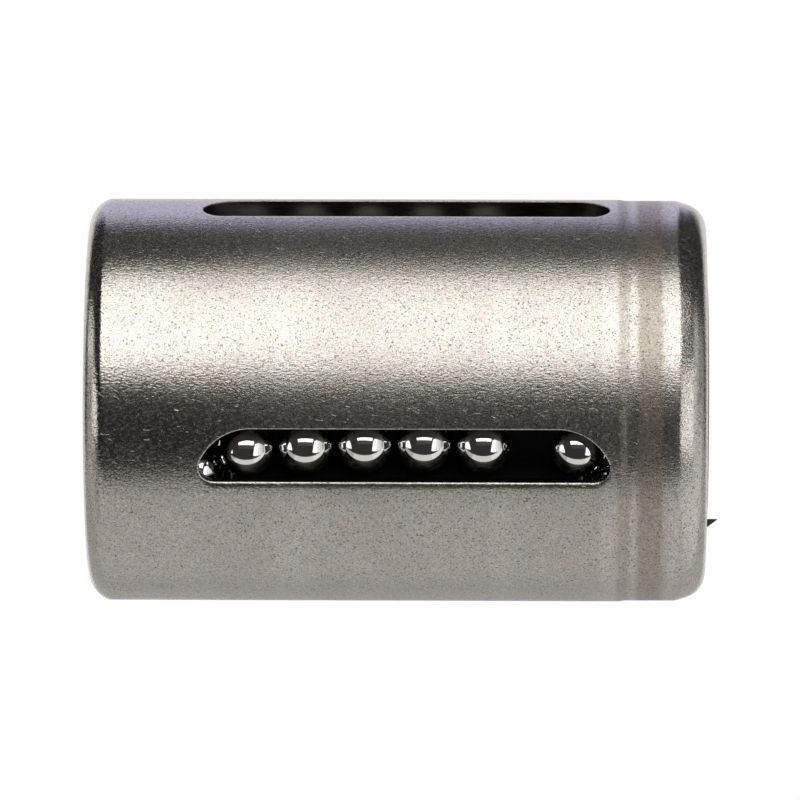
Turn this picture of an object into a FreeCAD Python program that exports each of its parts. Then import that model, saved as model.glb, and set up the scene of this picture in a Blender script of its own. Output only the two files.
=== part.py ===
# Linear ball bearing with a drawn steel sleeve, for a 10 mm shaft.
# Millimetres and degrees. The shaft axis is +Z, and the drawn end of the sleeve stands on z = 0.
# Each ball loop has a loaded row under the raceway, a return row in a window of the sleeve,
# and a ball in each of the two turns that join the rows.

import FreeCAD
import Part
import Sketcher
import math
import os

# Driving sizes. "low" is the drawn end of the sleeve, "high" the end that is rolled in.
SIZES = {
    "shaft_dia": 10.0,
    "sleeve_length": 26.0,
    "circuits": 4,
    # Balls and the room they run in
    "ball_dia": 2.381,
    "ball_gap": 0.0925,
    "radial_play": 0.01,
    "return_lift": 0.55,
    "return_bow": 0.235,
    "return_inset": 0.11,
    "return_last_shift": 0.059,
    "return_start": 0.383,
    "return_overrun": 0.085,
    "load_start": 0.35,
    "load_travel": 0.7,
    "turn_reach": 0.1,
    "low_turn_angle": -11.5,
    "high_turn_angle": 20.0,
    # Sleeve
    "sleeve_wall": 1.109,
    "low_flange": 1.0,
    "high_flange": 0.8,
    "flange_clearance": 0.8,
    "flange_edge": 0.2,
    "low_corner": 1.17,
    "high_corner": 1.085,
    "low_ground_edge": 17.0,
    "high_ground_edge": 18.0,
    "high_bevel": 0.485,
    "rolled_band": 3.7,
    "rolled_taper": 0.4,
    "rolled_step": 0.04,
    "relief_depth": 0.31,
    "turn_clearance": 0.11,
    "window_width": 2.4,
    "window_wide_corner": 2.3,
    "window_tight_corner": 0.73,
    "window_low_overrun": 1.57,
    "window_high_overrun": 1.41,
    # Cage
    "cage_clearance": 0.06,
    "cage_bore_clearance": 0.2,
    "cage_bevel": 0.3,
    "low_wall": 1.32,
    "high_wall": 0.7,
    "track_clearance": 0.2,
    "track_floor_clearance": 0.05,
    "row_web": 0.6,
    "port_clearance": 0.05,
    "port_past_turn": 15.0,
    # Seals
    "low_seal_thickness": 1.0,
    "high_seal_thickness": 0.9,
    "seal_clearance": 0.05,
    "lip_gap": 0.15,
    "lip_root_depth": 0.55,
    "lip_land": 0.4,
    "lip_tip": 0.12,
    "lip_taper": 0.3,
    "low_lip_recess": 0.12,
    "high_lip_stand": 0.08,
}

# Sizes and places that follow from the driving ones
FOLLOWING_SIZES = {
    "shaft_radius": "dims.shaft_dia / 2",
    "ball_radius": "dims.ball_dia / 2",
    "pitch": "dims.ball_dia + dims.ball_gap",
    # Radii of the sleeve, from the shaft and the balls
    "opening_radius": "layout.shaft_radius + dims.flange_clearance",
    "raceway_radius": "layout.shaft_radius + dims.ball_dia + dims.radial_play",
    "relief_radius": "layout.raceway_radius + dims.relief_depth",
    "sleeve_radius": "layout.raceway_radius + dims.sleeve_wall",
    # Distances of the ball rows from the axis
    "load_radius": "layout.shaft_radius + layout.ball_radius + dims.radial_play / 2",
    "return_radius": "layout.load_radius + dims.return_lift",
    "turn_height": "layout.relief_radius - layout.ball_radius - dims.turn_clearance",
    # Shape of a loop, seen along the radius through its middle
    "track_half": "layout.ball_radius + dims.track_clearance",
    "turn_radius": "layout.track_half + dims.row_web / 2",
    "row_sine": "2 * layout.turn_radius / (layout.load_radius + layout.return_radius)",
    "row_cosine": "sqrt(1 - layout.row_sine ^ 2)",
    "turn_offset": "(layout.load_radius - layout.return_radius) * layout.row_sine / 2",
    "return_depth": "layout.return_radius * layout.row_cosine - layout.ball_radius",
    "track_floor": "layout.return_depth - dims.track_floor_clearance",
    "load_sink": "layout.load_radius * layout.row_cosine - layout.track_floor",
    "port_half": "sqrt(layout.ball_radius ^ 2 - layout.load_sink ^ 2) + dims.port_clearance",
    # Places along the axis
    "cage_low": "dims.low_flange + dims.low_seal_thickness",
    "cage_high": "dims.sleeve_length - dims.high_flange - dims.high_seal_thickness",
    "turn_low": "layout.cage_low + dims.low_wall + layout.track_half + layout.turn_radius",
    "turn_high": "layout.cage_high - dims.high_wall - layout.track_half - layout.turn_radius",
    "window_low": "layout.turn_low - dims.window_low_overrun",
    "window_high": "layout.turn_high + dims.window_high_overrun",
    "return_first": "layout.turn_low + dims.return_start",
    "return_last": "layout.turn_high + dims.return_overrun",
    # Ends of a window: how far the centre of the wide arc lies past that of the tight arc
    "arc_gap": "dims.window_wide_corner - dims.window_tight_corner",
    "arc_step": "dims.window_wide_corner + dims.window_tight_corner - dims.window_width",
    "arc_advance": "sqrt(layout.arc_gap ^ 2 - layout.arc_step ^ 2)",
    # Radii of the cage and the seals
    "cage_radius": "layout.raceway_radius - dims.cage_clearance",
    "cage_bore": "layout.shaft_radius + dims.cage_bore_clearance",
    "seal_radius": "layout.relief_radius - dims.seal_clearance",
    "lip_back": "layout.opening_radius - dims.lip_gap",
    "lip_root": "layout.shaft_radius + dims.lip_root_depth",
}

FIRST_WINDOW_ANGLE = 270.0
FULL_TURN = 360.0
PAST_THE_SURFACE = 1.0

doc = FreeCAD.newDocument("linear_ball_bearing")
dims = doc.addObject("Spreadsheet::Sheet", "dims")
for row, (name, value) in enumerate(SIZES.items(), start=1):
    dims.set(f"A{row}", name)
    dims.set(f"B{row}", str(value))
    dims.setAlias(f"B{row}", name)
doc.recompute()

layout = doc.addObject("App::VarSet", "layout")
for name, expression in FOLLOWING_SIZES.items():
    layout.addProperty("App::PropertyFloat", name, "Layout")
    layout.setExpression(name, expression)
doc.recompute()


def measure(expression):
    """The number that an expression on the sizes gives."""
    return float(layout.evalExpression(expression))


def new_body(label):
    """An empty body under its own label."""
    body = doc.addObject("PartDesign::Body", label)
    body.Label = label
    return body


def new_sketch(body, name):
    """A sketch on the body's XZ plane: x runs along +X, y along +Z, and its normal is -Y."""
    plane = next(feature for feature in body.Origin.OriginFeatures if feature.Role == "XZ_Plane")
    sketch = body.newObject("Sketcher::SketchObject", name)
    sketch.AttachmentSupport = [(plane, "")]
    sketch.MapMode = "FlatFace"
    return sketch


def pin_point(sketch, edge, end, axis, expression):
    """Tie one coordinate of a sketch point to an expression."""
    constraint = Sketcher.Constraint(f"Distance{axis}", -1, 1, edge, end, measure(expression))
    sketch.setExpression(f"Constraints[{sketch.addConstraint(constraint)}]", expression)


def draw_outline(sketch, corners, arcs=None):
    """Draw a closed outline through corners, each a pair of expressions.

    arcs maps the number of an edge to its centre, a pair of expressions, and +1 where the arc
    runs counter-clockwise or -1 where it runs clockwise. Every other edge is straight.
    """
    arcs = arcs or {}
    points = [FreeCAD.Vector(measure(x), measure(y), 0) for x, y in corners]
    edges = []
    for number, start in enumerate(points):
        end = points[(number + 1) % len(points)]
        if number not in arcs:
            edges.append((sketch.addGeometry(Part.LineSegment(start, end), False), 1, 2))
            continue
        centre_x, centre_y, turn = arcs[number]
        centre = FreeCAD.Vector(measure(centre_x), measure(centre_y), 0)
        first, last = (start, end) if turn > 0 else (end, start)
        angles = [math.atan2(point.y - centre.y, point.x - centre.x) for point in (first, last)]
        circle = Part.Circle(centre, FreeCAD.Vector(0, 0, 1), centre.distanceToPoint(start))
        edge = sketch.addGeometry(Part.ArcOfCircle(circle, *angles), False)
        edges.append((edge, 1, 2) if turn > 0 else (edge, 2, 1))
    for number, (edge, near_end, far_end) in enumerate(edges):
        next_edge, next_near_end, _ = edges[(number + 1) % len(edges)]
        sketch.addConstraint(Sketcher.Constraint("Coincident", edge, far_end, next_edge, next_near_end))
        pin_point(sketch, edge, near_end, "X", corners[number][0])
        pin_point(sketch, edge, near_end, "Y", corners[number][1])
        if number in arcs:
            chord = points[(number + 1) % len(points)] - points[number]
            axis = "Y" if abs(chord.x) >= abs(chord.y) else "X"
            pin_point(sketch, edge, 3, axis, arcs[number][0 if axis == "X" else 1])


def revolve(body, sketch, name):
    """Turn a sketch once round the shaft axis."""
    feature = body.newObject("PartDesign::Revolution", name)
    feature.Profile = sketch
    feature.ReferenceAxis = (sketch, ["V_Axis"])
    feature.Angle = FULL_TURN
    doc.recompute()
    return feature


def pocket(body, sketch, name, depth, outward):
    """Cut a sketch into the body, away from the axis or towards it."""
    feature = body.newObject("PartDesign::Pocket", name)
    feature.Profile = sketch
    feature.setExpression("Length", depth)
    feature.Reversed = outward
    doc.recompute()
    return feature


def repeat_round_axis(body, features, name):
    """Repeat features for every circuit, and make sure that they removed material."""
    before = features[0].BaseFeature.Shape.Volume
    axis = next(feature for feature in body.Origin.OriginFeatures if feature.Role == "Z_Axis")
    pattern = body.newObject("PartDesign::PolarPattern", name)
    pattern.Originals = features
    pattern.Axis = (axis, [""])
    pattern.Angle = FULL_TURN
    pattern.setExpression("Occurrences", "dims.circuits")
    body.Tip = pattern
    doc.recompute()
    if pattern.Shape.Volume >= before:
        raise RuntimeError(f"{name} cuts nothing")


def make_outer_sleeve():
    """A drawn steel cup: inward flanges at both ends, a ground raceway between two reliefs
    that let the balls turn, and one window for each ball loop."""
    body = new_body("outer_sleeve")
    section = new_sketch(body, "sleeve_section")
    # The seam of the turned faces lies midway between two windows
    about_shaft_axis = FreeCAD.Rotation(FreeCAD.Vector(0, 1, 0), 1)
    section.AttachmentOffset = FreeCAD.Placement(FreeCAD.Vector(), about_shaft_axis)
    section.setExpression("AttachmentOffset.Rotation.Angle", f"{FULL_TURN} / dims.circuits / 2")
    length = "dims.sleeve_length"
    rolled_radius = "layout.sleeve_radius - dims.rolled_step"
    rolled_start = f"{length} - dims.rolled_band"
    # The outside is ground after drawing, so each round corner meets it at a crisp edge,
    # at the rolled end through a short bevel
    low_centre = "layout.sleeve_radius - dims.low_corner * cos(dims.low_ground_edge)"
    bevel_radius = f"({rolled_radius} - dims.high_bevel * tan(dims.high_ground_edge))"
    high_centre = f"{bevel_radius} - dims.high_corner * cos(dims.high_ground_edge)"
    low_edge = "dims.low_corner * (1 - sin(dims.low_ground_edge))"
    bevel_end = f"{length} - dims.high_corner * (1 - sin(dims.high_ground_edge))"
    eased_opening = "layout.opening_radius + dims.flange_edge"
    corners = [
        ("layout.opening_radius", "dims.flange_edge"),
        (eased_opening, "0"),
        (low_centre, "0"),
        ("layout.sleeve_radius", low_edge),
        ("layout.sleeve_radius", rolled_start),
        (rolled_radius, f"{rolled_start} + dims.rolled_taper"),
        (rolled_radius, f"{bevel_end} - dims.high_bevel"),
        (bevel_radius, bevel_end),
        (high_centre, length),
        (eased_opening, length),
        ("layout.opening_radius", f"{length} - dims.flange_edge"),
        ("layout.opening_radius", f"{length} - dims.high_flange"),
        ("layout.relief_radius", f"{length} - dims.high_flange"),
        ("layout.relief_radius", "layout.turn_high"),
        ("layout.raceway_radius", "layout.turn_high"),
        ("layout.raceway_radius", "layout.turn_low"),
        ("layout.relief_radius", "layout.turn_low"),
        ("layout.relief_radius", "dims.low_flange"),
        ("layout.opening_radius", "dims.low_flange"),
    ]
    arcs = {
        0: (eased_opening, "dims.flange_edge", 1),
        2: (low_centre, "dims.low_corner", 1),
        7: (high_centre, f"{length} - dims.high_corner", 1),
        9: (eased_opening, f"{length} - dims.flange_edge", 1),
    }
    draw_outline(section, corners, arcs)
    revolve(body, section, "sleeve_blank")

    # A window ends in a wide arc from its far edge and a tight arc from the edge beside the loaded row
    outline = new_sketch(body, "window_outline")
    far_edge = "-dims.window_width / 2"
    near_edge = "dims.window_width / 2"
    wide_x = f"({far_edge} + dims.window_wide_corner)"
    tight_x = f"({near_edge} - dims.window_tight_corner)"
    tight_low = "(layout.window_low + dims.window_tight_corner)"
    tight_high = "(layout.window_high - dims.window_tight_corner)"
    wide_low = f"({tight_low} + layout.arc_advance)"
    wide_high = f"({tight_high} - layout.arc_advance)"
    # The arcs touch on the line through their centres
    reach = "dims.window_tight_corner / layout.arc_gap"
    meet_x = f"{tight_x} - layout.arc_step * {reach}"
    meet_low = f"{tight_low} - layout.arc_advance * {reach}"
    meet_high = f"{tight_high} + layout.arc_advance * {reach}"
    corners = [
        (meet_x, meet_low),
        (near_edge, tight_low),
        (near_edge, tight_high),
        (meet_x, meet_high),
        (far_edge, wide_high),
        (far_edge, wide_low),
    ]
    arcs = {
        0: (tight_x, tight_low, 1),
        2: (tight_x, tight_high, 1),
        3: (wide_x, wide_high, 1),
        5: (wide_x, wide_low, 1),
    }
    draw_outline(outline, corners, arcs)
    depth = f"layout.sleeve_radius + {PAST_THE_SURFACE}"
    window = pocket(body, outline, "window", depth, outward=True)
    repeat_round_axis(body, [window], "windows")
    return body


def draw_stadium(sketch, half_width):
    """A long round-ended outline about the middle of a ball loop."""
    left = f"layout.turn_offset - ({half_width})"
    right = f"layout.turn_offset + ({half_width})"
    low = "layout.turn_low"
    high = "layout.turn_high"
    corners = [(right, low), (right, high), (left, high), (left, low)]
    arcs = {1: ("layout.turn_offset", high, 1), 3: ("layout.turn_offset", low, 1)}
    draw_outline(sketch, corners, arcs)


def draw_port(sketch):
    """The opening towards the shaft: it follows the loaded row and runs on past the top of each turn."""
    middle = "layout.turn_offset"
    low = "layout.turn_low"
    high = "layout.turn_high"
    outer = "(layout.turn_radius + layout.port_half)"
    inner = "(layout.turn_radius - layout.port_half)"
    across = "sin(dims.port_past_turn)"
    along = "cos(dims.port_past_turn)"
    centre = "layout.turn_radius"
    corners = [
        (f"{middle} + {outer}", low),
        (f"{middle} + {outer}", high),
        (f"{middle} - {outer} * {across}", f"{high} + {outer} * {along}"),
        (f"{middle} - {inner} * {across}", f"{high} + {inner} * {along}"),
        (f"{middle} + {inner}", high),
        (f"{middle} + {inner}", low),
        (f"{middle} - {inner} * {across}", f"{low} - {inner} * {along}"),
        (f"{middle} - {outer} * {across}", f"{low} - {outer} * {along}"),
    ]
    arcs = {
        1: (middle, high, 1),
        2: (f"{middle} - {centre} * {across}", f"{high} + {centre} * {along}", 1),
        3: (middle, high, -1),
        5: (middle, low, -1),
        6: (f"{middle} - {centre} * {across}", f"{low} - {centre} * {along}", 1),
        7: (middle, low, 1),
    }
    draw_outline(sketch, corners, arcs)


def make_ball_cage():
    """A moulded ring with one closed ball track for each circuit, open outwards to the sleeve.

    The body is drawn with a track facing -Y, and turned so that the return row faces the window.
    """
    body = new_body("ball_cage")
    section = new_sketch(body, "cage_section")
    bevelled = "layout.cage_bore + dims.cage_bevel"
    corners = [
        (bevelled, "layout.cage_low"),
        ("layout.cage_radius", "layout.cage_low"),
        ("layout.cage_radius", "layout.cage_high"),
        (bevelled, "layout.cage_high"),
        ("layout.cage_bore", "layout.cage_high - dims.cage_bevel"),
        ("layout.cage_bore", "layout.cage_low + dims.cage_bevel"),
    ]
    draw_outline(section, corners)
    revolve(body, section, "cage_blank")

    track_outline = new_sketch(body, "track_outline")
    track_outline.setExpression("AttachmentOffset.Base.z", "layout.track_floor")
    draw_stadium(track_outline, "layout.turn_radius + layout.track_half")
    draw_stadium(track_outline, "layout.turn_radius - layout.track_half")
    depth = f"layout.cage_radius - layout.track_floor + {PAST_THE_SURFACE}"
    track = pocket(body, track_outline, "track", depth, outward=True)

    port_outline = new_sketch(body, "port_outline")
    port_outline.setExpression("AttachmentOffset.Base.z", "layout.track_floor")
    draw_port(port_outline)
    port = pocket(body, port_outline, "port", "layout.track_floor", outward=False)
    repeat_round_axis(body, [track, port], "circuits")
    body.setExpression("Placement.Rotation.Angle", "asin(layout.row_sine)")
    return body


def make_seal(label, seat, inner_face, tip, inward):
    """A rubber ring behind a flange, with a lip that reaches out through the flange's opening.

    inward is the sign of the direction along the axis from the tip of the lip into the bearing.
    """
    body = new_body(label)
    section = new_sketch(body, f"{label}_section")
    corners = [
        ("layout.seal_radius", seat),
        ("layout.seal_radius", inner_face),
        ("layout.lip_root", inner_face),
        ("layout.shaft_radius", f"{tip} {inward} dims.lip_land"),
        ("layout.shaft_radius", tip),
        ("layout.shaft_radius + dims.lip_tip", tip),
        ("layout.lip_back", f"{tip} {inward} dims.lip_taper"),
        ("layout.lip_back", seat),
    ]
    draw_outline(section, corners)
    revolve(body, section, f"{label}_ring")
    return body


def make_ball(label, x, y, z):
    """One ball, with its centre given by three expressions."""
    ball = doc.addObject("Part::Sphere", label)
    ball.setExpression("Radius", "layout.ball_radius")
    for axis, expression in zip("xyz", (x, y, z)):
        ball.setExpression(f"Placement.Base.{axis}", expression)
    return ball


def make_row(label, radius, angle, heights, shifts):
    """A row of balls at one distance and direction from the axis, each with a height and a sideways shift."""
    row = doc.addObject("Part::Compound", label)
    row.Label = label
    balls = []
    for number, (height, shift) in enumerate(zip(heights, shifts), start=1):
        x = f"{radius} * cos({angle}) - {shift} * sin({angle})"
        y = f"{radius} * sin({angle}) + {shift} * cos({angle})"
        balls.append(make_ball(f"{label}_{number}", x, y, height))
    row.Links = balls
    return row


def make_turn_ball(label, angle, turn_centre, side, lean):
    """The ball in a turn, outside the middle of its track by turn_reach.

    lean is its angle from the top of the turn towards the loaded row.
    """
    arm = "(layout.turn_radius + dims.turn_reach)"
    across = f"(layout.turn_offset + {arm} * sin({lean}))"
    height = f"{turn_centre} {side} {arm} * cos({lean})"
    x = f"layout.turn_height * cos({angle}) - {across} * sin({angle})"
    y = f"layout.turn_height * sin({angle}) + {across} * cos({angle})"
    return make_ball(label, x, y, height)


def make_circuit(number):
    """The balls of one loop: two rows and a ball in each turn."""
    window_angle = f"({FIRST_WINDOW_ANGLE} + {number - 1} * {FULL_TURN} / dims.circuits)"
    loop_angle = f"({window_angle} + asin(layout.row_sine) / 1 deg)"
    load_angle = f"({window_angle} + 2 * asin(layout.row_sine) / 1 deg)"

    return_room = measure("layout.return_last - layout.return_first")
    load_room = measure("layout.turn_high - layout.turn_low - dims.load_start - dims.load_travel")
    return_steps = math.floor(return_room / measure("layout.pitch"))
    load_steps = math.floor(load_room / measure("layout.pitch"))

    # The spare room of the return row lies before its last ball. The middle of the row lies off the window's
    # middle, away from the loaded row, and its first balls and its last one stand nearer to that row.
    return_heights = [f"(layout.return_first + {step} * layout.pitch)" for step in range(return_steps)]
    return_heights.append("layout.return_last")
    middle = "(layout.return_first + layout.return_last) / 2"
    half_room = "(layout.return_last - layout.return_first) / 2"
    bow = [
        f"(dims.return_bow * (({height} - {middle}) / ({half_room})) ^ 2 - dims.return_inset)"
        for height in return_heights[:-1]
    ]
    bow.append("dims.return_last_shift")
    load_heights = [
        f"layout.turn_low + dims.load_start + {step} * layout.pitch" for step in range(load_steps + 1)
    ]
    straight = ["0"] * len(load_heights)
    low_lean = "dims.low_turn_angle"
    high_lean = "dims.high_turn_angle"
    return [
        make_row(f"load_balls_{number}", "layout.load_radius", load_angle, load_heights, straight),
        make_row(f"return_balls_{number}", "layout.return_radius", window_angle, return_heights, bow),
        make_turn_ball(f"lower_turn_ball_{number}", loop_angle, "layout.turn_low", "-", low_lean),
        make_turn_ball(f"upper_turn_ball_{number}", loop_angle, "layout.turn_high", "+", high_lean),
    ]


def check_document(nodes):
    """Stop if anything in the document failed, or a piece is empty or not a sound solid."""
    for item in doc.Objects:
        if "Invalid" in item.State or "Error" in item.State:
            raise RuntimeError(f"{item.Label} failed: {item.State}")
    for node in nodes:
        if node.Shape.isNull() or not node.Shape.isValid() or not node.Shape.Solids:
            raise RuntimeError(f"{node.Label} has no sound shape")


sleeve_end = "dims.sleeve_length"
parts = [
    make_outer_sleeve(),
    make_ball_cage(),
    make_seal("lower_seal", "dims.low_flange", "layout.cage_low", "dims.low_lip_recess", "+"),
    make_seal(
        "upper_seal",
        f"{sleeve_end} - dims.high_flange",
        "layout.cage_high",
        f"{sleeve_end} + dims.high_lip_stand",
        "-",
    ),
]
for circuit in range(1, int(measure("dims.circuits")) + 1):
    parts.extend(make_circuit(circuit))
doc.recompute()
check_document(parts)

os.makedirs("parts", exist_ok=True)
for part in parts:
    part.Shape.exportStep(f"parts/{part.Label}.step")
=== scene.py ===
# Looks of a linear ball bearing: satin steel sleeve, polished balls, black cage and rubber seals.
# Sizes are in millimetres and angles in degrees; vertices and places reach Blender in metres.
# The shaft axis is +Z. In a window's own plane, x runs round the sleeve, y out from the axis, and z along it.

import bmesh
import bpy
import math
from mathutils import Matrix, Vector


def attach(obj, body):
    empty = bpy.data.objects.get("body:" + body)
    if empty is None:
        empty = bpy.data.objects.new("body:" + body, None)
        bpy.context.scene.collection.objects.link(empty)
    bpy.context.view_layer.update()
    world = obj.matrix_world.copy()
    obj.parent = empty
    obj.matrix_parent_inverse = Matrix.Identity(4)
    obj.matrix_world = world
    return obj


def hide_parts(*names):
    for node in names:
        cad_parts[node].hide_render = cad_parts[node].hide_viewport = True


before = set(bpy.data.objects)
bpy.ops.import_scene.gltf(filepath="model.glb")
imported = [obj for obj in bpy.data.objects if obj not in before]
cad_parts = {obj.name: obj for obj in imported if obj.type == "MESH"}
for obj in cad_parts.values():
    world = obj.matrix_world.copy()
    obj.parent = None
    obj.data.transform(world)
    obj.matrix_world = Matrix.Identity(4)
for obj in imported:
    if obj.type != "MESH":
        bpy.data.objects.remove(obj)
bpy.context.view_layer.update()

MM = 0.001

# Sleeve
SLEEVE_RADIUS = 8.5
SLEEVE_LENGTH = 26.0
RACEWAY_RADIUS = 7.391
RELIEF_RADIUS = 7.701
RACEWAY_LOW = 6.401
RACEWAY_HIGH = 20.519
OPENING_RADIUS = 5.8
OPENING_EDGE = 0.2
LOW_FLANGE = 1.0
HIGH_FLANGE = 0.8
LOW_CORNER = 1.17
LOW_GROUND_TILT = 17.0
HIGH_CORNER = 1.085
HIGH_GROUND_TILT = 18.0
HIGH_BEVEL = 0.485
GROUND_EDGE = 0.13
ROLLED_START = 22.3
ROLLED_TAPER = 0.4
ROLLED_STEP = 0.04

# Windows
WINDOWS = 4
FIRST_WINDOW = 270.0
SECTOR = 360.0 / WINDOWS
WINDOW_HALF = 1.2
WINDOW_LOW = 4.831
WINDOW_HIGH = 21.929
WIDE_CORNER = 2.3
TIGHT_CORNER = 0.73
PLAIN_RIM = 0.1
PLAIN_RIM_DEPTH = 0.04
ROLLED_RIM = 0.28
ROLLED_RIM_DEPTH = 0.11
LIP_INSET = 0.107

# Seals
SEAL_RADIUS = 7.651
SHAFT_RADIUS = 5.0
LIP_ROOT = 5.55
LIP_BACK = 5.65
LIP_LAND = 0.4
LIP_TIP = 0.12
LIP_TAPER = 0.3
LOW_SEAL_FACE = 2.0
HIGH_SEAL_FACE = 24.3
LOW_LIP = 0.12
HIGH_LIP = 26.08
SEAL_ROUNDING = 0.05
FLASH_ANGLE = 343.5
FLASH_ROOT = 25.85
FLASH_LENGTH = 0.68
FLASH_WIDTH = 0.55
FLASH_THICKNESS = 0.1
FLASH_TAPER = 0.94

BALL_RADIUS = 1.1905

# Wear of the sleeve: rings along z as from, to, soft edge and strength, and nicks as lean and seed
POLISHED_RINGS = [
    (8.2, 9.2, 0.8, 0.3),
    (17.2, 17.6, 0.4, 0.3),
    (21.7, 22.05, 0.3, 0.6),
    (22.86, 22.94, 0.1, 0.4),
    (24.45, 24.7, 0.15, 0.6),
]
RUSTY_RINGS = [(22.35, 22.65, 0.15, 0.5), (23.25, 23.95, 0.3, 1.0)]
POLISHED_END = (24.9, 25.1)
POLISHED_END_SHARE = 0.5
HIGH_CORNER_START = (24.7, 24.8)
LOW_CORNER_END = (0.8, 0.9)
NICKS = [(62.0, 1.0), (-28.0, 5.0), (85.0, 9.0)]
NICKS_ALONG = 1.7
NICKS_ACROSS = 15.0
NICK_EDGE = (0.81, 0.86)
STEEL_ROUGHNESS = 0.2
STEEL_BUMP = 0.0095
END_FACE_EDGE = (7.0, 7.5)
END_FACE_MATT = 0.22

# Fineness of the meshes
SIDE_STEPS = 64
CORNER_STEPS = 14
ACROSS_STEPS = 40
SURFACE_ROWS = 18
INNER_ROWS = 20
ROW_SPREAD = 1.6
RIM_STEPS = 10
ROUND_STEPS = 10
BALL_FINENESS = 5
SMOOTH_BELOW = 11.0
MEETING_DISTANCE = 1e-4

# Camera, at the photograph's viewing angle: the axis lies across the picture
VIEW_AZIMUTH = -16.5
VIEW_ELEVATION = 0.8
VIEW_ROLL = 0.17
VIEW_DISTANCE = 380.0
VIEW_HEIGHT = 13.09
VIEW_LENS = 403.6
SENSOR = 36.0
NEAREST_SEEN = 1.0
FARTHEST_SEEN = 5000.0


class Wire:
    """A shader socket that takes part in sums."""

    def __init__(self, finish, socket):
        self.finish = finish
        self.socket = socket

    def sum(self, operation, *values):
        return self.finish.node("ShaderNodeMath", {"operation": operation}, dict(enumerate(values)))

    def __add__(self, other):
        return self.sum("ADD", self, other)

    def __sub__(self, other):
        return self.sum("SUBTRACT", self, other)

    def __rsub__(self, other):
        return self.sum("SUBTRACT", other, self)

    def __mul__(self, other):
        return self.sum("MULTIPLY", self, other)

    __radd__ = __add__
    __rmul__ = __mul__


class Finish:
    """The shader of a material or of the surround, under construction."""

    def __init__(self, owner, output="ShaderNodeOutputMaterial"):
        self.owner = owner
        self.owner.use_nodes = True
        self.tree = self.owner.node_tree
        self.tree.nodes.clear()
        self.output = self.tree.nodes.new(output)

    def node(self, kind, settings=None, inputs=None, output=0):
        """Add a node: its settings first, then values or links for its sockets."""
        made = self.tree.nodes.new(kind)
        for name, value in (settings or {}).items():
            setattr(made, name, value)
        for socket, value in (inputs or {}).items():
            if isinstance(value, Wire):
                self.tree.links.new(value.socket, made.inputs[socket])
            else:
                made.inputs[socket].default_value = value
        return Wire(self, made.outputs[output])

    def place(self):
        """Where a point of the piece lies, in millimetres."""
        metres = self.node("ShaderNodeTexCoord", output="Object")
        return self.node("ShaderNodeVectorMath", {"operation": "SCALE"}, {0: metres, "Scale": 1 / MM})

    def stretched(self, place, factors):
        return self.node("ShaderNodeVectorMath", {"operation": "MULTIPLY"}, {0: place, 1: factors})

    def noise(self, place, scale, detail=2.0, roughness=0.5):
        inputs = {"Vector": place, "Scale": scale, "Detail": detail, "Roughness": roughness}
        return self.node("ShaderNodeTexNoise", {}, inputs)

    def between(self, value, low, high):
        """0 up to low, 1 from high on, and a smooth rise between."""
        inputs = {"Value": value, "From Min": low, "From Max": high}
        return self.node("ShaderNodeMapRange", {"interpolation_type": "SMOOTHSTEP"}, inputs)

    def band(self, value, low, high, edge):
        """1 from low to high, and 0 from an edge's width away."""
        return self.between(value, low - edge, low) - self.between(value, high, high + edge)

    def blend(self, share, first, second):
        """A colour between two colours."""
        inputs = {"Factor": share, 6: first, 7: second}
        return self.node("ShaderNodeMix", {"data_type": "RGBA"}, inputs, output=2)

    def tint(self, shade, tint):
        """A colour multiplied by a colour."""
        inputs = {"Factor": 1.0, 6: shade, 7: tint}
        return self.node("ShaderNodeMix", {"data_type": "RGBA", "blend_type": "MULTIPLY"}, inputs, output=2)

    def bump(self, height, distance):
        inputs = {"Height": height, "Distance": distance * MM, "Strength": 1.0}
        return self.node("ShaderNodeBump", {}, inputs)

    def surface(self, **inputs):
        named = {name.replace("_", " "): value for name, value in inputs.items()}
        shader = self.node("ShaderNodeBsdfPrincipled", {}, named)
        return self.show(shader)

    def show(self, shader):
        self.tree.links.new(shader.socket, self.output.inputs["Surface"])
        return self.owner


def new_finish(name):
    return Finish(bpy.data.materials.new(name))


def colour(red, green, blue):
    return (red, green, blue, 1.0)


def nicks(finish, arc, z, lean, seed):
    """Short fine scratches that all lean one way, where arc and z are lengths on the sleeve."""
    cos = math.cos(math.radians(lean))
    sin = math.sin(math.radians(lean))
    along = arc * cos + z * sin
    across = z * cos - arc * sin
    scaled = {0: along * NICKS_ALONG, 1: across * NICKS_ACROSS, 2: seed}
    place = finish.node("ShaderNodeCombineXYZ", {}, scaled)
    return finish.between(finish.noise(place, 1.0, 0.0), *NICK_EDGE)


def rings(finish, z, places):
    """Bands round the sleeve, each with its own strength."""
    return sum(finish.band(z, low, high, edge) * strength for low, high, edge, strength in places)


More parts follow.
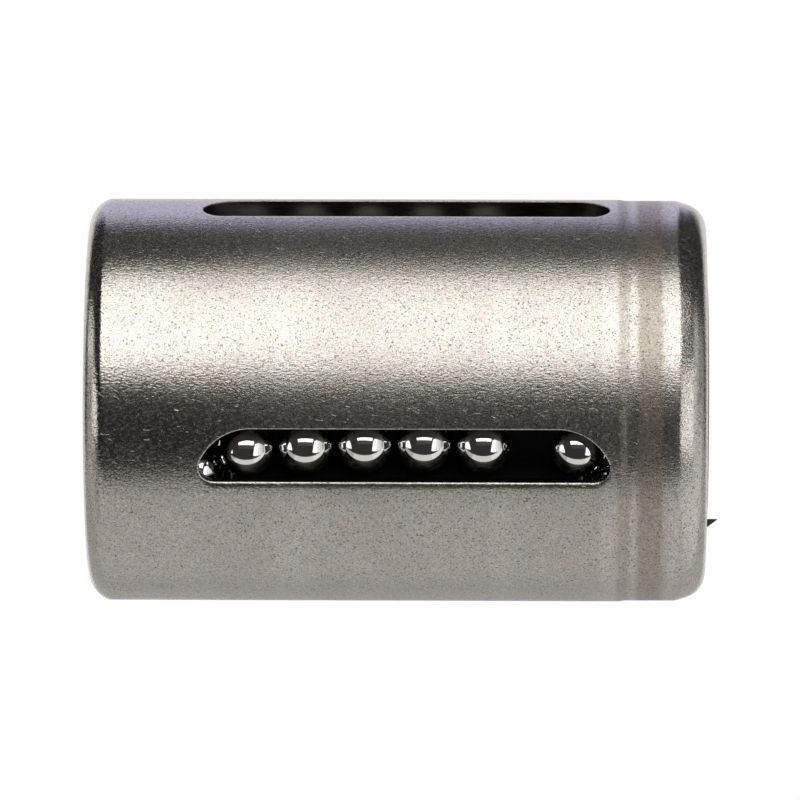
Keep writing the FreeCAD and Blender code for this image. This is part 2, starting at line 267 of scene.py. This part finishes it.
def satin_steel():
    """Barrel-finished steel: a fleck of fine grain, polished and rusty rings, pits, nicks and stains."""
    finish = new_finish("satin_steel")
    place = finish.place()
    x = finish.node("ShaderNodeSeparateXYZ", {}, {0: place}, output="X")
    y = finish.node("ShaderNodeSeparateXYZ", {}, {0: place}, output="Y")
    z = finish.node("ShaderNodeSeparateXYZ", {}, {0: place}, output="Z")
    arc = finish.node("ShaderNodeMath", {"operation": "ARCTAN2"}, {0: y, 1: x}) * SLEEVE_RADIUS
    grain = finish.noise(place, 17.0, 1.0)
    flecks = finish.noise(finish.stretched(place, (1.0, 1.0, 0.5)), 13.0, 1.0)
    dents = finish.noise(finish.stretched(place, (1.0, 1.0, 0.6)), 4.5, 2.0)
    stain = finish.noise(place, 0.32, 3.0, 0.55)
    warm = finish.noise(place, 0.7, 2.0)
    ragged = z + (finish.noise(place, 2.5, 4.0, 0.7) - 0.5) * 0.35
    polished_end = finish.between(ragged, *POLISHED_END) * POLISHED_END_SHARE
    polished = rings(finish, ragged, POLISHED_RINGS) + polished_end
    rusty = rings(finish, ragged, RUSTY_RINGS)
    flat = finish.stretched(place, (1.0, 1.0, 0.0))
    radius = finish.node("ShaderNodeVectorMath", {"operation": "LENGTH"}, {0: flat}, output="Value")
    end_faces = 1 - finish.between(radius, *END_FACE_EDGE)
    corners = finish.between(z, *HIGH_CORNER_START) + 1 - finish.between(z, *LOW_CORNER_END)
    cells = finish.node("ShaderNodeTexVoronoi", {}, {"Vector": place, "Scale": 1.1}, output="Distance")
    pits = (1 - finish.between(cells, 0.03, 0.07)) * finish.between(warm, 0.5, 0.55)
    specks = finish.between(finish.noise(place, 12.0, 1.0), 0.6, 0.7)
    mottle = finish.noise(place, 5.0, 3.0, 0.65)
    bloom = finish.noise(place, 1.3, 3.0, 0.6)
    scratches = sum(nicks(finish, arc, z, lean, seed) for lean, seed in NICKS)
    light = finish.between(grain, 0.25, 0.75)
    plain = finish.blend(light, colour(0.315, 0.306, 0.292), colour(0.545, 0.531, 0.508))
    mottled = finish.tint(plain, finish.blend(mottle, colour(0.72, 0.71, 0.69), colour(1.28, 1.28, 1.27)))
    tinted = finish.tint(mottled, finish.blend(bloom, colour(1.06, 0.99, 0.92), colour(0.95, 1.0, 1.07)))
    stained = finish.blend(finish.between(stain, 0.45, 0.7) * 0.2, tinted, colour(0.34, 0.325, 0.305))
    gleam = finish.blend(polished, colour(1.0, 1.0, 1.0), colour(1.2, 1.21, 1.23))
    rust = finish.blend(rusty, gleam, colour(0.78, 0.74, 0.69))
    scratched = finish.blend(scratches * 0.3, finish.tint(stained, rust), colour(0.6, 0.59, 0.57))
    marked = finish.blend(pits * 0.8 + specks * 0.85, scratched, colour(0.1, 0.09, 0.08))
    roughness = STEEL_ROUGHNESS + finish.between(z, 2.0, 9.0) * 0.08 + finish.between(stain, 0.4, 0.7) * 0.03
    dust = finish.between(flecks, 0.48, 0.72) * 0.13 + finish.between(mottle, 0.5, 0.75) * 0.07 + rusty * 0.08
    height = grain * 0.5 + flecks + mottle * 0.4 + dents * 0.2 - pits - scratches * 0.6
    return finish.surface(
        Base_Color=marked,
        Metallic=1 - dust,
        Roughness=roughness + rusty * 0.08 - corners * 0.08 + end_faces * END_FACE_MATT,
        Normal=finish.bump(height, STEEL_BUMP),
    )


def shade_painted_steel():
    """Painted shade: the walls of the windows and the inside of the sleeve, in steel darkened nearly to
    black.
    """
    finish = new_finish("shade_painted_steel")
    place = finish.place()
    streaks = finish.noise(finish.stretched(place, (3.0, 3.0, 0.6)), 3.0, 3.0)
    # Painted shade: the steel's colour is kept near black so the window walls and the inside look shaded.
    shade = finish.blend(streaks, colour(0.03, 0.028, 0.023), colour(0.07, 0.065, 0.055))
    return finish.surface(
        Base_Color=shade,
        Metallic=1.0,
        Roughness=0.27 + streaks * 0.2,
        Normal=finish.bump(streaks, 0.004),
    )


def polished_steel():
    """Lapped ball steel, with a trace of handling haze."""
    finish = new_finish("polished_steel")
    place = finish.place()
    haze = finish.noise(place, 1.6, 3.0)
    shade = finish.blend(haze, colour(0.68, 0.68, 0.685), colour(0.77, 0.77, 0.77))
    return finish.surface(Base_Color=shade, Metallic=1.0, Roughness=0.06 + haze * 0.04)


def moulded_plastic():
    """Black cage plastic with a fine moulded texture."""
    finish = new_finish("moulded_plastic")
    place = finish.place()
    texture = finish.noise(place, 9.0, 2.0)
    shade = finish.blend(texture, colour(0.006, 0.006, 0.0065), colour(0.014, 0.014, 0.015))
    return finish.surface(
        Base_Color=shade,
        Roughness=0.3 + texture * 0.2,
        Normal=finish.bump(texture, 0.004),
    )


def seal_rubber():
    """Matt black rubber with a dusty bloom."""
    finish = new_finish("seal_rubber")
    place = finish.place()
    bloom = finish.noise(place, 2.2, 4.0, 0.6)
    texture = finish.noise(place, 12.0, 2.0)
    shade = finish.blend(bloom, colour(0.012, 0.012, 0.012), colour(0.035, 0.034, 0.033))
    return finish.surface(
        Base_Color=shade,
        Roughness=0.5 + bloom * 0.25,
        Normal=finish.bump(texture, 0.006),
    )


class Skin:
    """A mesh made of patches that meet at shared points."""

    def __init__(self):
        self.mesh = bmesh.new()

    def patch(self, rows, finish=0):
        """Join rows of points, all of one length, with faces."""
        grid = [[self.mesh.verts.new(Vector(point) * MM) for point in row] for row in rows]
        for near, far in zip(grid, grid[1:]):
            for corners in zip(near, near[1:], far[1:], far):
                self.mesh.faces.new(corners).material_index = finish

    def turned(self, profile, finish=0):
        """Turn a profile of (radius, z) points once round the axis."""
        steps = WINDOWS * ACROSS_STEPS
        start = FIRST_WINDOW - SECTOR / 2
        angles = [start + 360.0 * step / steps for step in range(steps + 1)]
        self.patch([[round_axis(angle, radius, z) for angle in angles] for radius, z in profile], finish)

    def piece(self, name, finishes):
        """Weld the patches into an object with smooth faces and sharp corners."""
        bmesh.ops.remove_doubles(self.mesh, verts=self.mesh.verts, dist=MEETING_DISTANCE * MM)
        bmesh.ops.recalc_face_normals(self.mesh, faces=self.mesh.faces)
        data = bpy.data.meshes.new(name)
        self.mesh.to_mesh(data)
        self.mesh.free()
        for finish in finishes:
            data.materials.append(finish)
        data.shade_smooth()
        data.set_sharp_from_angle(angle=math.radians(SMOOTH_BELOW))
        made = bpy.data.objects.new(name, data)
        bpy.context.scene.collection.objects.link(made)
        return made


def round_axis(angle, radius, z):
    turn = math.radians(angle)
    return (radius * math.cos(turn), radius * math.sin(turn), z)


def in_window(middle, x, y, z):
    """A point given in the plane of the window at the angle middle."""
    turn = math.radians(middle)
    return (y * math.cos(turn) - x * math.sin(turn), y * math.sin(turn) + x * math.cos(turn), z)


def round_points(centre, radius, start, end, steps=ROUND_STEPS):
    """Points along an arc in a plane, both ends included."""
    angles = [math.radians(start + (end - start) * step / steps) for step in range(steps + 1)]
    return [(centre[0] + radius * math.cos(angle), centre[1] + radius * math.sin(angle)) for angle in angles]


def arc(centre, radius, start, end):
    """A stretch of an outline: its length, and the point and outward direction at a share of it."""
    def at(share):
        angle = math.radians(start + (end - start) * share)
        outward = (math.cos(angle), math.sin(angle))
        return (centre[0] + radius * outward[0], centre[1] + radius * outward[1]), outward

    return radius * math.radians(abs(end - start)), at


def line(start, end, outward):
    def at(share):
        return tuple(a + (b - a) * share for a, b in zip(start, end)), outward

    return math.dist(start, end), at


def walk(stretches, steps):
    """Points at even steps along stretches of an outline, each with its outward direction."""
    total = sum(length for length, _ in stretches)
    samples = []
    for step in range(steps + 1):
        left = total * step / steps
        for number, (length, at) in enumerate(stretches):
            if left <= length or number == len(stretches) - 1:
                samples.append(at(min(left / length, 1.0)))
                break
            left -= length
    return samples


def border(corners, counts):
    """Points along straight lines between corners, with the number of steps for each line."""
    points = [corners[0]]
    for start, end, count in zip(corners, corners[1:], counts):
        for step in range(1, count + 1):
            points.append(tuple(a + (b - a) * step / count for a, b in zip(start, end)))
    return points


def window_outline():
    """A window's outline in four runs: far edge beside the raceway, low end, near edge, high end."""
    wide_x = WIDE_CORNER - WINDOW_HALF
    tight_x = WINDOW_HALF - TIGHT_CORNER
    gap = WIDE_CORNER - TIGHT_CORNER
    advance = math.sqrt(gap ** 2 - (wide_x - tight_x) ** 2)
    tight_low = WINDOW_LOW + TIGHT_CORNER
    tight_high = WINDOW_HIGH - TIGHT_CORNER
    wide_low = (wide_x, tight_low + advance)
    wide_high = (wide_x, tight_high - advance)
    lean = math.degrees(math.asin(advance / gap))
    low_cross = 180 + math.degrees(math.asin((wide_low[1] - RACEWAY_LOW) / WIDE_CORNER))
    high_cross = 180 - math.degrees(math.asin((RACEWAY_HIGH - wide_high[1]) / WIDE_CORNER))
    near = (1.0, 0.0)
    far = (-1.0, 0.0)
    far_edge = [
        arc(wide_high, WIDE_CORNER, high_cross, 180),
        line((-WINDOW_HALF, wide_high[1]), (-WINDOW_HALF, wide_low[1]), far),
        arc(wide_low, WIDE_CORNER, 180, low_cross),
    ]
    low_end = [
        arc(wide_low, WIDE_CORNER, low_cross, 180 + lean),
        arc((tight_x, tight_low), TIGHT_CORNER, 180 + lean, 360),
        line((WINDOW_HALF, tight_low), (WINDOW_HALF, RACEWAY_LOW), near),
    ]
    near_edge = [line((WINDOW_HALF, RACEWAY_LOW), (WINDOW_HALF, RACEWAY_HIGH), near)]
    high_end = [
        line((WINDOW_HALF, RACEWAY_HIGH), (WINDOW_HALF, tight_high), near),
        arc((tight_x, tight_high), TIGHT_CORNER, 0, 180 - lean),
        arc(wide_high, WIDE_CORNER, 180 - lean, high_cross),
    ]
    end_steps = 2 * CORNER_STEPS + ACROSS_STEPS
    return [
        walk(far_edge, SIDE_STEPS),
        walk(low_end, end_steps),
        walk(near_edge, SIDE_STEPS),
        walk(high_end, end_steps),
    ]


def sector_border(low, high):
    """The border of a window's share of the sleeve, as (angle, z), in runs that match the outline's."""
    half = SECTOR / 2
    ends = [CORNER_STEPS, ACROSS_STEPS, CORNER_STEPS]
    return [
        border([(-half, RACEWAY_HIGH), (-half, RACEWAY_LOW)], [SIDE_STEPS]),
        border([(-half, RACEWAY_LOW), (-half, low), (half, low), (half, RACEWAY_LOW)], ends),
        border([(half, RACEWAY_LOW), (half, RACEWAY_HIGH)], [SIDE_STEPS]),
        border([(half, RACEWAY_HIGH), (half, high), (-half, high), (-half, RACEWAY_HIGH)], ends),
    ]


def spread(middle, radius, outline, edge, rows):
    """Rows of points on a cylinder, from a window's outline out to the border of its sector."""
    starts = [(math.degrees(math.asin(x / radius)), z) for x, z in outline]
    grid = []
    for row in range(rows + 1):
        share = (row / rows) ** ROW_SPREAD
        points = []
        for (angle, z), (edge_angle, edge_z) in zip(starts, edge):
            turn = middle + angle + (edge_angle - angle) * share
            points.append(round_axis(turn, radius, z + (edge_z - z) * share))
        grid.append(points)
    return grid


def rim_shape(outward_x):
    """A rim's width, depth and the inset of its lip, by the way it faces: the near edge is rolled."""
    rolled = max(outward_x, 0.0) ** 3
    width = PLAIN_RIM + (ROLLED_RIM - PLAIN_RIM) * rolled
    depth = PLAIN_RIM_DEPTH + (ROLLED_RIM_DEPTH - PLAIN_RIM_DEPTH) * rolled
    return width, depth, LIP_INSET * max(outward_x, 0.0) ** 2


def rim_point(middle, sample, slope):
    """A point of a rim where its surface slopes by an angle: 0 on the sleeve, 90 at the wall."""
    (x, z), (outward_x, outward_z) = sample
    width, depth, inset = rim_shape(outward_x)
    turn = math.atan2(width * math.sin(math.radians(slope)), depth * math.cos(math.radians(slope)))
    out = width * (1 - math.sin(turn)) - inset
    place = x + outward_x * out
    height = math.sqrt(SLEEVE_RADIUS ** 2 - place ** 2) - depth * (1 - math.cos(turn))
    return in_window(middle, place, height, z + outward_z * out)


def make_sector(skin, middle, low_edge, high_edge):
    """One quarter of the sleeve's wall round its window: outside, rounded rim, cut wall and inside."""
    outlines = window_outline()
    outer_edges = sector_border(low_edge, high_edge)
    inner_edges = sector_border(LOW_FLANGE, SLEEVE_LENGTH - HIGH_FLANGE)
    for number, samples in enumerate(outlines):
        beside_raceway = number in (0, 2)
        opened = []
        for (x, z), (outward_x, outward_z) in samples:
            width, _, inset = rim_shape(outward_x)
            opened.append((x + outward_x * (width - inset), z + outward_z * (width - inset)))
        skin.patch(spread(middle, SLEEVE_RADIUS, opened, outer_edges[number], SURFACE_ROWS))
        slopes = [90 * step / RIM_STEPS for step in range(RIM_STEPS + 1)]
        rim = [[rim_point(middle, sample, slope) for sample in samples] for slope in slopes]
        skin.patch(rim)
        inner_rows = {}
        for radius in (RELIEF_RADIUS, RACEWAY_RADIUS):
            inner_rows[radius] = [
                in_window(middle, x, math.sqrt(radius ** 2 - x ** 2), z) for (x, z), _ in samples
            ]
        skin.patch([rim[-1], inner_rows[RELIEF_RADIUS]], 1)
        flat = [point for point, _ in samples]
        if not beside_raceway:
            skin.patch(spread(middle, RELIEF_RADIUS, flat, inner_edges[number], INNER_ROWS), 1)
            continue
        skin.patch([inner_rows[RELIEF_RADIUS], inner_rows[RACEWAY_RADIUS]], 1)
        raceway = spread(middle, RACEWAY_RADIUS, flat, inner_edges[number], INNER_ROWS)
        relief = spread(middle, RELIEF_RADIUS, flat, inner_edges[number], INNER_ROWS)
        skin.patch(raceway, 1)
        for end in (0, -1):
            skin.patch([[row[end] for row in relief], [row[end] for row in raceway]], 1)


def worn_edge(start, corner, end):
    """A soft curve from start to end in place of a corner."""
    points = []
    for step in range(RIM_STEPS + 1):
        share = step / RIM_STEPS
        left = 1 - share
        point = Vector(start) * left ** 2
        point += Vector(corner) * 2 * share * left
        point += Vector(end) * share ** 2
        points.append((point.x, point.y))
    return points


def make_sleeve(finishes):
    """The drawn steel cup with four windows, a ground outside and a rolled-in end."""
    skin = Skin()
    low_turn = math.radians(LOW_GROUND_TILT)
    low_centre = (SLEEVE_RADIUS - LOW_CORNER * math.cos(low_turn), LOW_CORNER)
    low_edge = LOW_CORNER * (1 - math.sin(low_turn))
    high_turn = math.radians(HIGH_GROUND_TILT)
    rolled_radius = SLEEVE_RADIUS - ROLLED_STEP
    bevelled_radius = rolled_radius - HIGH_BEVEL * math.tan(high_turn)
    high_centre = (bevelled_radius - HIGH_CORNER * math.cos(high_turn), SLEEVE_LENGTH - HIGH_CORNER)
    bevel_start = high_centre[1] + HIGH_CORNER * math.sin(high_turn) - HIGH_BEVEL
    edge_radius = OPENING_RADIUS + OPENING_EDGE
    low_start = low_edge + GROUND_EDGE
    for window in range(WINDOWS):
        make_sector(skin, FIRST_WINDOW + window * SECTOR, low_start, ROLLED_START)
    low_tilt = LOW_GROUND_TILT + math.degrees(GROUND_EDGE / LOW_CORNER)
    low_corner = round_points(low_centre, LOW_CORNER, -low_tilt, -90)
    low_profile = worn_edge((SLEEVE_RADIUS, low_start), (SLEEVE_RADIUS, low_edge), low_corner[0])
    low_profile += low_corner[1:]
    low_profile += round_points((edge_radius, OPENING_EDGE), OPENING_EDGE, 270, 180, RIM_STEPS)
    skin.turned(low_profile)
    skin.turned([low_profile[-1], (OPENING_RADIUS, LOW_FLANGE), (RELIEF_RADIUS, LOW_FLANGE)], 1)
    high_profile = []
    for step in range(ROUND_STEPS + 1):
        share = step / ROUND_STEPS
        sunk = ROLLED_STEP * (1 - math.cos(math.pi * share)) / 2
        high_profile.append((SLEEVE_RADIUS - sunk, ROLLED_START + ROLLED_TAPER * share))
    bevelled = (rolled_radius - GROUND_EDGE * math.tan(high_turn), bevel_start + GROUND_EDGE)
    unworn = (rolled_radius, bevel_start - GROUND_EDGE)
    high_profile += worn_edge(unworn, (rolled_radius, bevel_start), bevelled)
    high_profile += round_points(high_centre, HIGH_CORNER, HIGH_GROUND_TILT, 90)
    high_edge = (edge_radius, SLEEVE_LENGTH - OPENING_EDGE)
    high_profile += round_points(high_edge, OPENING_EDGE, 90, 180, RIM_STEPS)
    skin.turned(high_profile)
    high_inside = SLEEVE_LENGTH - HIGH_FLANGE
    skin.turned([high_profile[-1], (OPENING_RADIUS, high_inside), (RELIEF_RADIUS, high_inside)], 1)
    sleeve = skin.piece("steel_sleeve", finishes)
    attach(sleeve, "bearing_shell")
    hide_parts("outer_sleeve")


def eased(profile, radius):
    """A closed profile with every corner rounded."""
    points = []
    for number, corner in enumerate(profile):
        here = Vector(corner)
        before = (Vector(profile[number - 1]) - here).normalized() * radius
        after = (Vector(profile[(number + 1) % len(profile)]) - here).normalized() * radius
        points += worn_edge(here + before, here, here + after)
    return points + points[:1]


def torn_flash(skin):
    """A wisp of moulding flash left on the upper seal's lip, tapering to its tip."""
    rows = []
    for step in range(RIM_STEPS + 1):
        left = 1 - FLASH_TAPER * step / RIM_STEPS
        z = FLASH_ROOT + FLASH_LENGTH * step / RIM_STEPS
        outside = SHAFT_RADIUS + FLASH_WIDTH * left
        half = math.degrees(FLASH_THICKNESS * left / SHAFT_RADIUS) / 2
        corners = [(-half, SHAFT_RADIUS), (half, SHAFT_RADIUS), (half, outside), (-half, outside)]
        closed = corners + corners[:1]
        rows.append([round_axis(FLASH_ANGLE + turn, radius, z) for turn, radius in closed])
    skin.patch(rows)
    tip = rows[-1]
    skin.patch([[tip[0], tip[1]], [tip[3], tip[2]]])


def make_seal(name, node, seat, inner_face, tip, inward, finish, flash=False):
    """A rubber ring behind a flange, with a soft-edged lip towards the shaft."""
    profile = [
        (SEAL_RADIUS, seat),
        (SEAL_RADIUS, inner_face),
        (LIP_ROOT, inner_face),
        (SHAFT_RADIUS, tip + inward * LIP_LAND),
        (SHAFT_RADIUS, tip),
        (SHAFT_RADIUS + LIP_TIP, tip),
        (LIP_BACK, tip + inward * LIP_TAPER),
        (LIP_BACK, seat),
    ]
    skin = Skin()
    skin.turned(eased(profile, SEAL_ROUNDING))
    if flash:
        torn_flash(skin)
    seal = skin.piece(name, [finish])
    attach(seal, "bearing_shell")
    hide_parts(node)


def ball_centres(node):
    """The middle of every ball of a CAD node, in metres."""
    mesh = bmesh.new()
    mesh.from_mesh(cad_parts[node].data)
    bmesh.ops.remove_doubles(mesh, verts=mesh.verts, dist=MEETING_DISTANCE * MM)
    waiting = set(mesh.verts)
    centres = []
    while waiting:
        group = [waiting.pop()]
        for vertex in group:
            for edge in vertex.link_edges:
                other = edge.other_vert(vertex)
                if other in waiting:
                    waiting.remove(other)
                    group.append(other)
        low = [min(vertex.co[axis] for vertex in group) for axis in range(3)]
        high = [max(vertex.co[axis] for vertex in group) for axis in range(3)]
        centres.append((Vector(low) + Vector(high)) / 2)
    mesh.free()
    return sorted(centres, key=lambda centre: centre.z)


def make_balls(name, node, body, finish):
    """The polished balls of one CAD node."""
    mesh = bmesh.new()
    for centre in ball_centres(node):
        bmesh.ops.create_icosphere(
            mesh,
            subdivisions=BALL_FINENESS,
            radius=BALL_RADIUS * MM,
            matrix=Matrix.Translation(centre),
        )
    data = bpy.data.meshes.new(name)
    mesh.to_mesh(data)
    mesh.free()
    data.materials.append(finish)
    data.shade_smooth()
    balls = bpy.data.objects.new(name, data)
    bpy.context.scene.collection.objects.link(balls)
    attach(balls, body)
    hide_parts(node)


def make_bearing():
    steel = satin_steel()
    # dark_steel is steel with painted shade, for the window walls and the inside of the sleeve.
    dark_steel = shade_painted_steel()
    ball_steel = polished_steel()
    plastic = moulded_plastic()
    rubber = seal_rubber()
    make_sleeve([steel, dark_steel])
    make_seal("low_lip_seal", "lower_seal", LOW_FLANGE, LOW_SEAL_FACE, LOW_LIP, 1, rubber)
    high_seat = SLEEVE_LENGTH - HIGH_FLANGE
    make_seal("high_lip_seal", "upper_seal", high_seat, HIGH_SEAL_FACE, HIGH_LIP, -1, rubber, flash=True)
    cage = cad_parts["ball_cage"]
    cage.data.materials.clear()
    cage.data.materials.append(plastic)
    for number in range(1, WINDOWS + 1):
        make_balls(f"loaded_balls_{number}", f"load_balls_{number}", f"load_row_{number}", ball_steel)
        make_balls(f"window_balls_{number}", f"return_balls_{number}", f"return_row_{number}", ball_steel)
        make_balls(f"low_turn_{number}", f"lower_turn_ball_{number}", f"lower_turn_{number}", ball_steel)
        make_balls(f"high_turn_{number}", f"upper_turn_ball_{number}", f"upper_turn_{number}", ball_steel)


# Stage: panels of light and shade on a sphere round the bearing, a white floor and a white surround.
# A panel's place is its angle up from the camera in the picture, and its angle along the axis.
PANEL_DISTANCE = 700.0
DARK_ROOM_DISTANCE = 900.0
PANEL_STEPS = 24
WARM_WHITE = (1.0, 0.98, 0.945)
PAPER_WHITE = (1.0, 0.985, 0.96)
LAVENDER = (0.93, 0.895, 1.17)
PANELS = [
    ("softbox_low", [(14.7, -29), (13.5, 29), (21, 30), (21, -30)], WARM_WHITE, 2.3),
    ("softbox", [(21, -30), (21, 30), (50, 31), (50, -31)], WARM_WHITE, 2.75),
    ("softbox_middle", [(50, -31), (50, 31), (64, 30), (64, -30)], WARM_WHITE, 2.6),
    ("softbox_top", [(64, -30), (64, 27), (76, 20), (76, -29)], WARM_WHITE, 2.3),
    ("low_side_panel", [(-30, -53), (20, -63), (40, -78), (-46, -80)], PAPER_WHITE, 1.6),
    ("low_edge_panel", [(60, -66), (60, -80), (155, -80), (155, -60)], PAPER_WHITE, 1.15),
    ("high_side_near", [(-32, 28), (20, 36), (28, 48), (-40, 46)], PAPER_WHITE, 1.75),
    ("high_side_middle", [(-40, 46), (28, 48), (36, 58), (-46, 58)], PAPER_WHITE, 1.05),
    ("high_side_far", [(-46, 58), (36, 58), (40, 70), (-52, 70)], PAPER_WHITE, 0.85),
    ("high_top_panel", [(40, 46), (78, 50), (78, 68), (40, 68)], PAPER_WHITE, 0.9),
    ("softbox_glow", [(-2, -30), (-2, 30), (14, 30), (14, -30)], WARM_WHITE, 0.08),
    ("table_shade", [(-47.2, -84), (-47.2, -40), (-80, -40), (-80, -84)], WARM_WHITE, 0.52),
    ("table_low", [(-80, -84), (-80, -40), (-125, -40), (-125, -84)], WARM_WHITE, 0.7),
    ("table_front", [(-47.2, -40), (-47.2, 26), (-125, 26), (-125, -40)], WARM_WHITE, 0.79),
    ("table_high", [(-47.2, 26), (-47.2, 84), (-125, 84), (-125, 26)], WARM_WHITE, 0.97),
    ("table_back", [(-125, -84), (-125, 84), (-165, 84), (-165, -84)], WARM_WHITE, 0.6),
    ("ceiling", [(77, -28), (77, 18), (122, 14), (122, -28)], WARM_WHITE, 0.088),
    ("back_panel", [(122, -13), (122, 9), (155, 12), (155, -26)], LAVENDER, 1.0),
    ("backdrop", [(157, -50), (157, 50), (193, 50), (193, -50)], PAPER_WHITE, 1.0),
]
END_PANELS = [
    ("low_end_panel", [(-180, -66), (180, -66), (180, -90), (-180, -90)], PAPER_WHITE, 0.5),
    ("high_end_panel", [(-180, 66), (180, 66), (180, 90), (-180, 90)], PAPER_WHITE, 0.45),
]
END_PANEL_DISTANCE = 720.0
DARK_ROOM = (0.04, 0.0385, 0.037)
FLOOR_RADIUS = 600.0
FLOOR_SHADE = 0.9
FLOOR_WHITE = 0.9
FLOOR_GLOW = 1.06
ROOM_SEGMENTS = 48
FLOOR_SEGMENTS = 64


def view_axes():
    """Towards the camera, and the picture's up direction, before the camera tips along the axis."""
    turn = math.radians(VIEW_AZIMUTH)
    return Vector((math.sin(turn), -math.cos(turn), 0)), Vector((-math.cos(turn), -math.sin(turn), 0))


def panel_point(up, along, distance):
    """A place on the sphere of panels, in metres."""
    towards, rise = view_axes()
    across = towards * math.cos(math.radians(up)) + rise * math.sin(math.radians(up))
    slope = math.radians(along)
    place = across * math.cos(slope) + Vector((0, 0, 1)) * math.sin(slope)
    return (place * distance + Vector((0, 0, VIEW_HEIGHT))) * MM


def glowing(name, shade, strength):
    finish = new_finish(name)
    return finish.show(finish.node("ShaderNodeEmission", {}, {"Color": colour(*shade), "Strength": strength}))


def stage_piece(name, data, finish):
    data.materials.append(finish)
    made = bpy.data.objects.new(name, data)
    bpy.context.scene.collection.objects.link(made)
    return made


def make_panel(distance, name, corners, shade, strength):
    first, second, third, fourth = [Vector(corner) for corner in corners]
    rows = []
    for step in range(PANEL_STEPS + 1):
        start = first.lerp(fourth, step / PANEL_STEPS)
        end = second.lerp(third, step / PANEL_STEPS)
        row = [start.lerp(end, part / PANEL_STEPS) for part in range(PANEL_STEPS + 1)]
        rows.append([panel_point(place.x, place.y, distance) for place in row])
    width = PANEL_STEPS + 1
    faces = []
    for step in range(PANEL_STEPS):
        for part in range(PANEL_STEPS):
            corner = step * width + part
            faces.append((corner, corner + 1, corner + width + 1, corner + width))
    data = bpy.data.meshes.new(name)
    data.from_pydata([point for row in rows for point in row], [], faces)
    panel = stage_piece(name, data, glowing(name, shade, strength))
    panel.visible_camera = False


def make_dark_room():
    mesh = bmesh.new()
    rows = ROOM_SEGMENTS // 2
    size = DARK_ROOM_DISTANCE * MM
    bmesh.ops.create_uvsphere(mesh, u_segments=ROOM_SEGMENTS, v_segments=rows, radius=size)
    data = bpy.data.meshes.new("dark_room")
    mesh.to_mesh(data)
    mesh.free()
    room = stage_piece("dark_room", data, glowing("dark_room", DARK_ROOM, 1.0))
    room.visible_camera = False


def make_floor():
    """A white floor that shows white to the camera and keeps a soft shadow."""
    finish = new_finish("white_floor")
    camera = finish.node("ShaderNodeLightPath", output="Is Camera Ray")
    shade = colour(FLOOR_SHADE, FLOOR_SHADE, FLOOR_SHADE)
    diffuse = finish.node("ShaderNodeBsdfDiffuse", {}, {"Color": shade})
    white = finish.node("ShaderNodeEmission", {}, {"Color": colour(1.0, 1.0, 1.0), "Strength": FLOOR_GLOW})
    mixed = finish.node("ShaderNodeMixShader", {}, {0: camera * FLOOR_WHITE, 1: diffuse, 2: white})
    mesh = bmesh.new()
    bmesh.ops.create_circle(mesh, cap_ends=True, segments=FLOOR_SEGMENTS, radius=FLOOR_RADIUS * MM)
    data = bpy.data.meshes.new("floor")
    mesh.to_mesh(data)
    mesh.free()
    floor = stage_piece("floor", data, finish.show(mixed))
    floor.visible_glossy = False


def make_surround():
    """White to the camera and in reflections; the panels give the light."""
    world = bpy.data.worlds.new("white_surround")
    bpy.context.scene.world = world
    finish = Finish(world, "ShaderNodeOutputWorld")
    seen = finish.node("ShaderNodeLightPath", output="Is Camera Ray")
    mirrored = finish.node("ShaderNodeLightPath", output="Is Glossy Ray")
    through = finish.node("ShaderNodeLightPath", output="Is Transmission Ray")
    clamped = {"operation": "ADD", "use_clamp": True}
    shown = finish.node("ShaderNodeMath", clamped, {0: mirrored + through, 1: seen})
    white = {"Color": colour(1.0, 1.0, 1.0), "Strength": shown}
    finish.show(finish.node("ShaderNodeBackground", {}, white))


def make_camera():
    """The photograph's view: across the axis, which runs from left to right."""
    towards, rise = view_axes()
    tip = math.radians(VIEW_ELEVATION)
    back = towards * math.cos(tip) + Vector((0, 0, 1)) * math.sin(tip)
    right = rise.cross(back).normalized()
    up = back.cross(right)
    roll = math.radians(VIEW_ROLL)
    rolled_right = right * math.cos(roll) + up * math.sin(roll)
    rolled_up = up * math.cos(roll) - right * math.sin(roll)
    data = bpy.data.cameras.new("camera")
    data.lens = VIEW_LENS
    data.sensor_width = SENSOR
    data.clip_start = NEAREST_SEEN * MM
    data.clip_end = FARTHEST_SEEN * MM
    camera = bpy.data.objects.new("camera", data)
    place = Matrix((rolled_right, rolled_up, back)).transposed().to_4x4()
    place.translation = (back * VIEW_DISTANCE + Vector((0, 0, VIEW_HEIGHT))) * MM
    camera.matrix_world = place
    bpy.context.scene.collection.objects.link(camera)
    bpy.context.scene.camera = camera


def make_stage():
    for panel in PANELS:
        make_panel(PANEL_DISTANCE, *panel)
    for panel in END_PANELS:
        make_panel(END_PANEL_DISTANCE, *panel)
    make_dark_room()
    make_floor()
    make_surround()
    make_camera()
    bpy.context.scene.view_settings.view_transform = "Standard"


make_bearing()
make_stage()
